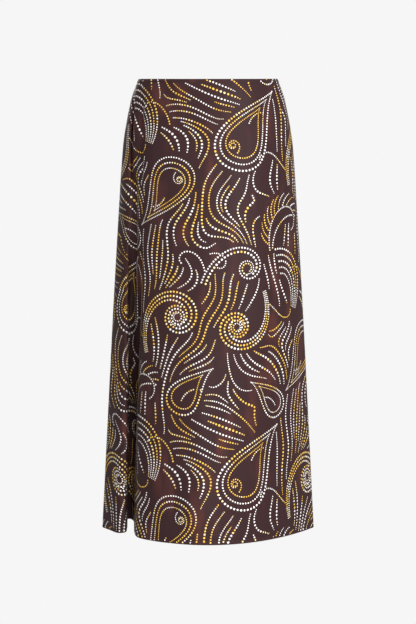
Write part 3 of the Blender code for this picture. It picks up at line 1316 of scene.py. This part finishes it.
@dataclass(frozen=True)
class Drop:
    """A paisley drop of dotted rows, one inside another, with its tip bent to one side.

    at is its middle, heading the way that its tip points, and sway how far the tip is
    bent, as a share of the height. Sizes are in centimetres, gap and pitch in millimetres.
    The pitch shrinks from each row to the next one in.
    """

    at: tuple[float, float]
    width: float
    height: float
    heading: float
    sway: float
    rows: int = 2
    gap: float = 7.0
    pitch: float = 5.2
    slimness: float = 1.6
    belly: float = 0.12
    tip_gap: float = 0.02
    points: int = 90
    bent_part: float = 0.25
    bend: float = 1.8
    shrink: float = 0.9
    taper: tuple[float, float] = (0.62, 0.62)

    def lines(self) -> list[Row]:
        """The rows of the drop.

        Returns:
            Each row's points, pitch and taper.
        """
        turn = np.linspace(self.tip_gap, 2.0 - self.tip_gap, self.points) * math.pi
        round_side = np.sin(turn) * np.sin(turn / 2.0) ** self.slimness
        angle = math.radians(self.heading)
        along = np.array((math.cos(angle), math.sin(angle)))
        across = np.array((-math.sin(angle), math.cos(angle)))
        made = []
        for index in range(self.rows):
            left = 1.0 - 2.0 * MM_IN_CM * self.gap * index / self.width
            x = round_side / round_side.max() * self.width / 2.0 * left
            y = ((np.cos(turn) / 2.0 + self.belly) * left - self.belly) * self.height
            tip = np.clip(y / self.height + self.bent_part, 0.0, 1.0) ** 2
            x = x + self.bend * self.sway * self.height * tip
            points = np.array(self.at) + y[:, None] * along + x[:, None] * across
            made.append((points, self.pitch * self.shrink**index, self.taper))
        return made


class Motif(Enum):
    """The figures of the print."""

    PAISLEY = (
        Drop((0.0, 0.0), 10.0, 17.0, -90.0, 0.30, 3, 9.5, 6.2),
        Stroke((-0.4, 5.2), -60.0, 9.0, -30.0, -150.0, 1.4, 1, pitch=4.2),
        Stroke((0.7, -1.0), -80.0, 4.5, 10.0, 30.0, 1.0, 1, pitch=4.0),
    )
    SEED = (
        Drop((0.0, 0.0), 5.6, 9.6, -90.0, -0.28, 2, 8.0, 5.0),
        Stroke((0.0, 2.4), -90.0, 4.2, -12.0, -26.0, 1.0, 1, pitch=4.0),
    )
    SCROLL = (
        Stroke((4.4, 9.6), -72.0, 40.0, -5.0, -52.0, 2.0, 3, (3.4, 10.0, 3.6), 6.4),
        Stroke((5.8, 6.5), -35.0, 9.0, -6.0, 44.0, 1.6, 1, pitch=4.8),
    )
    BUD = (
        Stroke((-4.6, 6.5), -72.0, 25.0, 5.0, 66.0, 2.2, 2, (8.0, 7.6, 3.8), 5.8),
        Stroke((-4.4, 4.2), -100.0, 8.5, -8.0, -64.0, 1.8, 1, pitch=4.6),
        Stroke((-3.4, 1.2), -20.0, 6.0, 20.0, 70.0, 1.6, 1, pitch=4.2),
    )
    FERN = (
        Stroke((-3.0, 8.2), -84.0, 17.5, 5.0, 30.0, 1.7, 1, pitch=4.6, ribs=13, rib_length=4.2,
               rib_turn=-58.0, rib_bend=16.0),
        Stroke((-2.2, 8.0), -72.0, 10.0, 7.0, 12.0, 1.0, 1, pitch=4.6),
    )
    SHELL = (
        Stroke((0.4, 6.6), -98.0, 12.5, 5.0, 17.0, 1.4, 5, (4.2, 9.5, 12.5), 5.8),
        Stroke((-3.4, 2.2), -70.0, 11.5, 8.0, 66.0, 2.2, 1, pitch=4.8),
    )


@dataclass(frozen=True)
class Placed:
    """A motif in the repeat: where its middle lies, in centimetres, and how it is turned."""

    motif: Motif
    across: float
    down: float
    turn: float = 0.0
    mirrored: bool = False
    size: float = 1.0

    def to_cloth(self, points: np.ndarray) -> np.ndarray:
        """A line of the motif on the flat cloth.

        Args:
            points: The line, in centimetres from the motif's middle.

        Returns:
            The line in metres.
        """
        turned = points * np.array((-1.0 if self.mirrored else 1.0, 1.0)) * self.size
        cos, sin = math.cos(math.radians(self.turn)), math.sin(math.radians(self.turn))
        return CM * (turned @ np.array(((cos, sin), (-sin, cos))) + np.array((self.across, self.down)))


LAYOUT = (
    Placed(Motif.PAISLEY, 7.5, 9.5, 14.0),
    Placed(Motif.SCROLL, 22.5, 11.5, 0.0, True, 0.95),
    Placed(Motif.FERN, 13.2, 24.5, -16.0),
    Placed(Motif.SEED, 27.0, 27.0, 24.0, True, 1.1),
    Placed(Motif.BUD, 4.0, 32.5, 0.0, False, 1.05),
    Placed(Motif.SHELL, 21.3, 38.0, 12.0, True),
    Placed(Motif.SCROLL, 8.0, 49.5, 176.0, True, 0.85),
    Placed(Motif.PAISLEY, 23.5, 54.5, 196.0, False, 0.86),
    Placed(Motif.SEED, 12.8, 60.8, -30.0, False, 0.95),
)


@dataclass(frozen=True)
class Wave:
    """A slow wave over the cloth that fits the repeat: its waves across and down, and its lead."""

    across: int
    down: int
    lead: float


@dataclass
class ScrollPrint:
    """A generic all-over print of dotted scrolls and paisleys, laid out on the flat cloth.

    One repeat is laid out and then copied, each column half a drop lower than the one
    before. The motifs come first. Flowing rows fill the ground between them and bend
    round them, between near and far from each other. A spread is the range of an even
    random draw, but ink_spread and row_lean are the deviations of normal ones.
    """

    width: float = 0.31
    drop: float = 0.64
    dot_share: float = 0.31
    clearance: float = 0.9
    seed: int = 5
    cell: float = 0.008
    dot_gap: float = 0.0004
    near: float = 0.0072
    far: float = 0.0165
    near_share: float = 0.8
    pitch_least: float = 0.0045
    pitch_by_room: float = 0.16
    pitch_spread: tuple[float, float] = (0.86, 1.18)
    size_spread: tuple[float, float] = (0.93, 1.06)
    full_from: float = 0.35
    full_to: float = 0.7
    ground_ends: tuple[float, float] = (0.62, 0.5)
    seed_step: float = 0.008
    seed_spread: tuple[float, float] = (0.2, 0.8)
    trace_step: float = 0.002
    longest: int = 120
    shortest: int = 20
    own_tail: int = 9
    own_least: int = 12
    bareness: float = 0.75
    swirl: float = 1.5
    swirl_reach: float = 0.072
    swirl_eye: float = 0.0001
    gold_from: float = 0.42
    cream_from: float = 0.09
    ink_drift: float = 0.33
    ink_spread: float = 0.26
    row_lean: float = 0.42
    ink_waves: tuple[Wave, ...] = (Wave(1, 3, 0.4), Wave(-2, 5, 2.0), Wave(3, 2, 4.1))
    room_waves: tuple[Wave, ...] = (Wave(1, 4, 1.0), Wave(-2, 3, 0.3))
    bare_waves: tuple[Wave, ...] = (Wave(2, 1, 3.0), Wave(-1, 4, 1.5))
    lean_waves: tuple[Wave, ...] = (Wave(1, 2, 0.9), Wave(0, 5, 2.2))
    lean_shares: tuple[float, ...] = (0.62, 0.25)

    def __post_init__(self) -> None:
        """Starts with a bare repeat, and lists the middles round which the ground's rows bend."""
        self.spots: list[tuple[float, float, float]] = []
        self.inks: list[Ink] = []
        self.taken: dict[tuple[int, int], list[tuple[float, float, float]]] = {}
        self.chance = np.random.default_rng(self.seed)
        middles = []
        for placed in LAYOUT:
            for i in (-1, 0, 1):
                for j in (-2, -1, 0, 1, 2):
                    u, v = self._copy(CM * placed.across, CM * placed.down, i, j)
                    middles.append((u, v, -self.swirl if placed.mirrored else self.swirl))
        self.middles = np.array(middles)

    def _copy(self, u: float, v: float, column: int, row: int) -> tuple[float, float]:
        """The same place in another repeat."""
        return u + column * self.width, v + (row + 0.5 * column) * self.drop

    def _home(self, u: float, v: float) -> tuple[float, float]:
        """The same place in the repeat itself."""
        column = math.floor(u / self.width)
        return u - column * self.width, (v - 0.5 * column * self.drop) % self.drop

    def _waves(self, waves: Sequence[Wave], u: float, v: float) -> float:
        """The sum of some waves at a place.

        Args:
            waves: The waves.
            u: Distance across the repeat.
            v: Distance down it.

        Returns:
            The sum, between minus and plus their number.
        """
        across = 2.0 * math.pi * u / self.width
        down = 2.0 * math.pi * (v / self.drop - 0.5 * u / self.width)
        return sum(math.sin(wave.across * across + wave.down * down + wave.lead) for wave in waves)

    def _around(self, u: float, v: float) -> list[tuple[float, float, float]]:
        """The dots near a place.

        Args:
            u: Distance across.
            v: Distance down.

        Returns:
            How far across and down each one's middle is from the place, and its radius.
        """
        u, v = self._home(u, v)
        column, row = int(u // self.cell), int(v // self.cell)
        return [
            (a - u, b - v, radius)
            for i in (-1, 0, 1) for j in (-1, 0, 1)
            for a, b, radius in self.taken.get((column + i, row + j), ())
        ]

    def _nearest(self, u: float, v: float) -> float:
        """The distance from a place to the nearest dot's middle."""
        return min((math.hypot(a, b) for a, b, _ in self._around(u, v)), default=self.far)

    def _free(self, u: float, v: float, radius: float) -> bool:
        """Whether a dot would stay clear of the dots already there.

        Args:
            u: Its middle, across.
            v: Its middle, down.
            radius: Its radius.

        Returns:
            True where it would.
        """
        return all(
            math.hypot(a, b) > self.clearance * (other + radius) + self.dot_gap
            for a, b, other in self._around(u, v)
        )

    def _ink(self, u: float, v: float, lean: float) -> Ink:
        """The ink of a dot, which changes in soft runs across the cloth.

        Args:
            u: Distance across the repeat.
            v: Distance down it.
            lean: How far its row leans toward gold.

        Returns:
            The ink.
        """
        drift = self.ink_drift * self._waves(self.ink_waves, u, v)
        value = drift + lean + self.chance.normal(0.0, self.ink_spread)
        if value < self.cream_from:
            return Ink.IVORY
        return Ink.CREAM if value < self.gold_from else Ink.GOLD

    def row(self, points: np.ndarray, pitch: float, ends: tuple[float, float]) -> None:
        """Lays a row of dots along a path.

        Args:
            points: The path on the flat cloth.
            pitch: The distance from dot to dot at its middle.
            ends: The share of that at its start and end.
        """
        along = lengths_along(points)
        lean, swell = self.chance.normal(0.0, self.row_lean), self.chance.uniform(*self.pitch_spread)
        fresh: list[tuple[float, float, float]] = []
        at = 0.0
        while at < along[-1]:
            places = (0.0, self.full_from, self.full_to, 1.0)
            share = np.interp(at / along[-1], places, (ends[0], 1.0, 1.0, ends[1]))
            step = pitch * share * swell
            u, v = (float(np.interp(at, along, points[:, axis])) for axis in (0, 1))
            radius = self.dot_share * step * self.chance.uniform(*self.size_spread)
            apart = all(math.hypot(u - a, v - b) > self.clearance * (r + radius) for a, b, r in fresh[-3:])
            if apart and self._free(u, v, radius):
                fresh.append((u, v, radius))
            at += step
        for u, v, radius in fresh:
            u, v = self._home(u, v)
            self.spots.append((u, v, radius))
            self.inks.append(self._ink(u, v, lean))
            for i in (-1, 0, 1):
                for j in (-1, 0, 1):
                    a, b = self._copy(u, v, i, j)
                    cell = int(a // self.cell), int(b // self.cell)
                    self.taken.setdefault(cell, []).append((a, b, radius))

    def _flow(self, u: float, v: float) -> np.ndarray:
        """The way in which the ground's rows run: down in waves, and round the motifs.

        Args:
            u: Distance across the repeat.
            v: Distance down it.

        Returns:
            A unit vector.
        """
        lean = sum(
            share * self._waves([wave], u, v) for share, wave in zip(self.lean_shares, self.lean_waves)
        )
        apart = np.array((u, v)) - self.middles[:, :2]
        squared = np.einsum("ij,ij->i", apart, apart)
        nearness = np.exp(-squared / self.swirl_reach**2)
        pull = self.middles[:, 2] * nearness / np.sqrt(squared + self.swirl_eye**2)
        way = np.array((lean - np.sum(pull * apart[:, 1]), 1.0 + np.sum(pull * apart[:, 0])))
        return way / np.linalg.norm(way)

    def _room(self, u: float, v: float) -> float:
        """How far apart the ground's rows lie at a place."""
        share = 0.5 + 0.5 * self._waves(self.room_waves, u, v) / len(self.room_waves)
        return self.near + (self.far - self.near) * share**2

    def _trace(self, u: float, v: float, sense: float) -> list[np.ndarray]:
        """Follows the flow until another row, or the line itself, is too near.

        Args:
            u: Where it starts, across.
            v: Where it starts, down.
            sense: 1 to go with the flow and -1 against it.

        Returns:
            The points of the line.
        """
        place, line = np.array((u, v)), []
        while len(line) < self.longest:
            way = self._flow(*self._home(*place)) * sense
            if line and np.dot(way, place - line[-1]) < 0.0:
                break
            step = place + way * self.trace_step
            if self._nearest(*step) < self.near_share * self._room(*self._home(*step)):
                break
            if len(line) > self.own_least:
                apart = np.linalg.norm(np.array(line[:-self.own_tail]) - step, axis=1)
                if np.min(apart) < self.near:
                    break
            line.append(place)
            place = step
        return line

    def _fill(self) -> None:
        """Lays the flowing rows of the ground."""
        across, down = int(self.width / self.seed_step), int(self.drop / self.seed_step)
        for index in self.chance.permutation(across * down):
            i, j = divmod(int(index), down)
            u, v = (self.seed_step * (k + self.chance.uniform(*self.seed_spread)) for k in (i, j))
            room = self._room(u, v)
            if self._nearest(u, v) < room or self._waves(self.bare_waves, u, v) > self.bareness:
                continue
            line = self._trace(u, v, -1.0)[:0:-1] + self._trace(u, v, 1.0)
            if len(line) > self.shortest:
                self.row(np.array(line), self.pitch_least + self.pitch_by_room * room, self.ground_ends)

    def lay_out(self) -> None:
        """Fills the repeat."""
        for placed in LAYOUT:
            for figure in placed.motif.value:
                for points, pitch, ends in figure.lines():
                    self.row(placed.to_cloth(points), MM * pitch * math.sqrt(placed.size), ends)
        self._fill()

    def printed(self, width: float, length: float) -> tuple[np.ndarray, np.ndarray]:
        """Copies the repeat over a piece of cloth.

        Args:
            width: The distance across, both sides of the middle together.
            length: The distance down.

        Returns:
            One row for each dot, with its place across, its place down and its radius, and
            the number of each dot's ink.
        """
        spots, inks = np.array(self.spots), np.array([list(Ink).index(ink) for ink in self.inks])
        columns, rows = int(width / 2.0 / self.width) + 1, int(length / self.drop) + 2
        copies = [
            spots + np.array((*self._copy(0.0, 0.0, i, j), 0.0))
            for i in range(-columns, columns + 1) for j in range(-rows, rows + 1)
        ]
        everywhere, number = np.concatenate(copies), np.tile(inks, len(copies))
        here = (everywhere[:, 1] > 0.0) & (everywhere[:, 1] < length)
        return everywhere[here], number[here]


@dataclass
class PrintedDots:
    """The print of a panel, as dots of ink that follow the cloth."""

    panel: ClothPanel
    corners: int = 8
    rim_lift: float = 0.00006
    crown: float = 0.00010
    margin: float = 0.0006

    def _group(self) -> NodeGroup:
        """The group that sets a flat lens on each point and wraps it round the cloth.

        Returns:
            The finished group.
        """
        group = NodeGroup("ink_dots", Cloth="Object", Corners="Int", Rim="Float", Crown="Float")
        given = group.inputs
        dot = group.add("GeometryNodeMeshCone", {"fill_type": "TRIANGLE_FAN"}, {
            "Vertices": given["Corners"], "Radius Top": 0.0, "Radius Bottom": 1.0, "Depth": 1.0})
        radius = group.attribute("radius", "FLOAT")
        scale = group.add("ShaderNodeCombineXYZ", {}, {"X": radius, "Y": radius, "Z": 1.0})
        dots = group.add("GeometryNodeInstanceOnPoints", {}, {
            "Points": given["Geometry"], "Instance": dot, "Scale": scale})
        real = group.add("GeometryNodeRealizeInstances", {}, {"Geometry": dots})
        cloth = group.add("GeometryNodeObjectInfo", {}, {"Object": given["Cloth"]}, "Geometry")
        here = group.add("GeometryNodeInputPosition")
        flat = {"Mesh": cloth, "UV Map": group.attribute("flat"), "Sample UV": here}
        point, normal = (
            group.add("GeometryNodeSampleUVSurface", {"data_type": "FLOAT_VECTOR"}, {
                **flat, "Value": group.add(kind)})
            for kind in ("GeometryNodeInputPosition", "GeometryNodeInputNormal")
        )
        height = group.add("ShaderNodeSeparateXYZ", {}, {"Vector": here}, "Z") * given["Crown"] + given["Rim"]
        lift = group.add("ShaderNodeVectorMath", {"operation": "SCALE"}, {"Vector": normal, "Scale": height})
        place = group.add("ShaderNodeVectorMath", {"operation": "ADD"}, {0: point, 1: lift})
        wrapped = group.add("GeometryNodeSetPosition", {}, {"Geometry": real, "Position": place})
        group.close(group.add("GeometryNodeFlipFaces", {}, {"Mesh": wrapped}))
        return group

    def _on_cloth(self, spots: np.ndarray) -> np.ndarray:
        """Which dots lie whole on the panel.

        Args:
            spots: Each dot's place across, its place down and its radius.

        Returns:
            Whether each one does.
        """
        cloth = self.panel.cloth
        flat = cloth.flat_of(self.panel.side)
        across, down, edge = spots[:, 0], spots[:, 1], spots[:, 2] + self.margin
        high = np.interp(down, cloth.drops, flat[:, 0, 0]) - edge
        low = np.interp(down, cloth.drops, flat[:, -1, 0]) + edge
        return (edge < down) & (down < cloth.form.length - edge) & (low < across) & (across < high)

    def build(self, guide: bpy.types.Object, printed: tuple[np.ndarray, np.ndarray],
              inks: dict[Ink, bpy.types.Material]) -> list[bpy.types.Object]:
        """Builds the dots, one piece for each ink.

        Args:
            guide: The cloth's outer skin with its flat places.
            printed: The print's dots and the number of each one's ink.
            inks: The material of each ink.

        Returns:
            The pieces.
        """
        spots, numbers = printed
        whole = self._on_cloth(spots)
        group = self._group()
        pieces = []
        for number, ink in enumerate(Ink):
            chosen = spots[whole & (numbers == number)]
            name = f"{ink.value.name}_{self.panel.side.node}"
            mesh = bpy.data.meshes.new(name)
            mesh.from_pydata([(u, v, 0.0) for u, v, _ in chosen], [], [])
            radii = mesh.attributes.new("radius", "FLOAT", "POINT")
            radii.data.foreach_set("value", chosen[:, 2])
            pieces.append(group.piece(
                name, mesh, inks[ink], Cloth=guide, Corners=self.corners, Rim=self.rim_lift, Crown=self.crown
            ))
        return pieces


# ---------------------------------------------------------------- sewing


@dataclass
class StitchLine:
    """A row of machine stitches along a level of the cloth."""

    name: str
    cloth: Cloth
    drop: float
    pitch: float = 0.0032
    stitch: float = 0.0022
    thread: float = 0.00022
    flatness: float = 0.7
    lift: float = 0.00008

    def _group(self) -> NodeGroup:
        """The group that lays a short thread at even steps along a line.

        Returns:
            The finished group.
        """
        group = NodeGroup("stitches", Pitch="Float", Stitch="Float", Thread="Float")
        given = group.inputs
        curve = group.add("GeometryNodeMeshToCurve", {}, {"Mesh": given["Geometry"]})
        even = group.add("GeometryNodeResampleCurve", {"mode": "LENGTH"}, {
            "Curve": curve, "Length": given["Pitch"]})
        turn = group.add("FunctionNodeAxesToRotation", {"primary_axis": "X", "secondary_axis": "Z"}, {
            "Primary Axis": group.add("GeometryNodeInputTangent"),
            "Secondary Axis": group.attribute("outward")})
        bead = group.add("GeometryNodeMeshIcoSphere", {}, {"Radius": 1.0, "Subdivisions": 1})
        size = group.add("ShaderNodeCombineXYZ", {}, {
            "X": given["Stitch"] * 0.5, "Y": given["Thread"], "Z": given["Thread"] * self.flatness})
        stitches = group.add("GeometryNodeInstanceOnPoints", {}, {
            "Points": even, "Instance": bead, "Rotation": turn, "Scale": size})
        group.close(group.add("GeometryNodeRealizeInstances", {}, {"Geometry": stitches}))
        return group

    def build(self, material: bpy.types.Material) -> bpy.types.Object:
        """Builds the row of stitches.

        Args:
            material: The thread.

        Returns:
            The piece.
        """
        cloth = self.cloth
        upper = int(np.searchsorted(cloth.drops, self.drop)) - 1
        part = (self.drop - cloth.drops[upper]) / (cloth.drops[upper + 1] - cloth.drops[upper])
        points, normals = (
            values[upper] * (1.0 - part) + values[upper + 1] * part for values in (cloth.grid, cloth.normals)
        )
        points = points + normals * self.lift
        count = len(points)
        mesh = bpy.data.meshes.new(self.name)
        mesh.from_pydata([tuple(p) for p in points], [(i, (i + 1) % count) for i in range(count)], [])
        outward = mesh.attributes.new("outward", "FLOAT_VECTOR", "POINT")
        outward.data.foreach_set("vector", normals.ravel())
        return self._group().piece(
            self.name, mesh, material, Pitch=self.pitch, Stitch=self.stitch, Thread=self.thread
        )


# ---------------------------------------------------------------- studio


@dataclass(frozen=True)
class SoftLight:
    """A soft box: where it stands, what it points at, its sides and its power."""

    name: str
    place: tuple[float, float, float]
    target: tuple[float, float, float]
    size: tuple[float, float]
    power: float


@dataclass
class Studio:
    """The pale studio, its soft boxes and the camera of the photograph's view."""

    distance: float = 2.2
    eye_level: float = -0.4577
    lens: float = 64.615
    sensor: float = 36.0
    pale: float = 0.9215
    fill: float = 0.46
    floor_level: float = -1.25
    floor_size: float = 60.0
    lights: tuple[SoftLight, ...] = (
        SoftLight("key", (1.7, -2.5, 0.9), (0.0, 0.0, -0.40), (1.1, 1.6), 84.0),
        SoftLight("side", (-1.9, -2.2, 0.2), (0.0, 0.0, -0.45), (1.2, 1.8), 4.0),
        SoftLight("front", (0.1, -2.5, -0.75), (-0.05, 0.0, -0.5), (0.5, 0.5), 19.0),
        SoftLight("back", (-0.5, 2.6, 1.2), (0.0, 0.0, -0.4), (1.8, 1.4), 30.0),
    )

    def build(self) -> None:
        """Sets up the camera, the lights, the world and the floor."""
        scene = bpy.context.scene
        scene.view_settings.view_transform = "Standard"
        scene.view_settings.look = "None"
        self._camera(scene)
        for light in self.lights:
            self._light(light)
        self._world(scene)
        self._floor()

    def _camera(self, scene: bpy.types.Scene) -> None:
        """Adds the camera, level and straight on.

        Args:
            scene: The scene that looks through it.
        """
        data = bpy.data.cameras.new("camera")
        data.lens, data.sensor_width = self.lens, self.sensor
        camera = linked("camera", data)
        camera.location = (0.0, -self.distance, self.eye_level)
        camera.rotation_euler = (math.pi / 2.0, 0.0, 0.0)
        scene.camera = camera

    def _light(self, light: SoftLight) -> None:
        """Adds a soft box.

        Args:
            light: Its sizes and place.
        """
        data = bpy.data.lights.new(light.name, "AREA")
        data.shape = "RECTANGLE"
        data.size, data.size_y = light.size
        data.energy = light.power
        lamp = linked(light.name, data)
        lamp.location = light.place
        x, y, z = np.array(light.target) - np.array(light.place)
        lamp.rotation_euler = (math.atan2(math.hypot(x, y), -z), 0.0, math.atan2(-x, y))

    def _two_tones(self, tree: Tree) -> Socket:
        """The tone that the camera sees, and the dimmer one that lights the skirt."""
        seen = tree.add("ShaderNodeLightPath", {}, {}, "Is Camera Ray")
        return self.fill + seen * (self.pale - self.fill)

    def _world(self, scene: bpy.types.Scene) -> None:
        """Adds a pale surround.

        Args:
            scene: The scene that it surrounds.
        """
        world = bpy.data.worlds.new("pale_surround")
        world.use_nodes = True
        tree = Tree(world.node_tree)
        tree.feed_all(world.node_tree.nodes["Background"], {
            "Color": WHITE, "Strength": self._two_tones(tree)})
        scene.world = world

    def _floor(self) -> None:
        """Adds a wide pale floor below the hem, which glows as the surround does."""
        bm = bmesh.new()
        bmesh.ops.create_grid(bm, x_segments=1, y_segments=1, size=self.floor_size / 2.0)
        bmesh.ops.translate(bm, vec=(0.0, 0.0, self.floor_level), verts=bm.verts)
        material = bpy.data.materials.new("pale_floor")
        material.use_nodes = True
        tree, nodes = Tree(material.node_tree), material.node_tree.nodes
        nodes.remove(nodes["Principled BSDF"])
        glow = tree.add("ShaderNodeEmission", {}, {"Color": WHITE, "Strength": self._two_tones(tree)})
        tree.feed_all(nodes["Material Output"], {"Surface": glow})
        floor = finished(smooth_mesh("pale_floor", bm), material)
        floor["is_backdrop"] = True


# ---------------------------------------------------------------- assembly


@dataclass
class Skirt:
    """The whole skirt, put together on one body, in place of the frame's solids."""

    cloth: Cloth
    bolt_width: float = 1.4
    stitches_below: float = 0.0004

    def declare(self, piece: bpy.types.Object, slot: str, *nodes: str) -> None:
        """Makes a piece ride on the skirt's one body.

        Args:
            piece: The finished piece.
            slot: The record's material slot; not used.
            nodes: The solids that it stands for.
        """
        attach(piece, "root")
        if nodes:
            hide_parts(*nodes)
        count = sum(len(face.vertices) - 2 for face in piece.data.polygons)
        log.info("%s: %d triangles", piece.name, count)

    def build(self) -> None:
        """Builds every piece."""
        satin, thread = Satin().material(), Thread().material()
        inks = {ink: ink.value.material() for ink in Ink}
        layout = ScrollPrint()
        layout.lay_out()
        log.info("print: %d dots in a repeat", len(layout.spots))
        printed = layout.printed(self.bolt_width, self.cloth.form.length)
        casing = WaistCasing(self.cloth)
        self.declare(casing.build(satin), "waist_casing", "waist_casing")
        level = self.cloth.form.length - self.cloth.hem_turn + self.stitches_below
        stitches = StitchLine("hem_stitches", self.cloth, level).build(thread)
        self.declare(stitches, "printed_satin")
        for side in Side:
            panel = ClothPanel(side, self.cloth)
            piece = panel.build(satin)
            self.declare(piece, "printed_satin", side.node)
            guide = panel.guide(casing.proud)
            dots = PrintedDots(panel).build(guide, printed, inks)
            bpy.data.objects.remove(guide, do_unlink=True)
            for ink in dots:
                self.declare(ink, "printed_satin")
            width, length, area = panel.cut()
            log.info("%s: cut %.3f x %.3f m, %.4f square metres", side.node, width, length, area)


def corners(box: Sequence[Sequence[float]]) -> list[list[float]]:
    """A box's two corners as plain lists."""
    return [[float(value) for value in corner] for corner in box]


def main() -> None:
    """Builds the skirt and its studio."""
    logging.basicConfig(level=logging.INFO, format="%(message)s")
    cloth = Cloth(WornForm())
    log.info("cloth: %d rows, %d columns", *cloth.grid.shape[:2])
    Skirt(cloth).build()
    Studio().build()
    {"cad": corners(CAD_BOX), "visual": corners(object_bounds())}


if __name__ == "__main__":
    main()
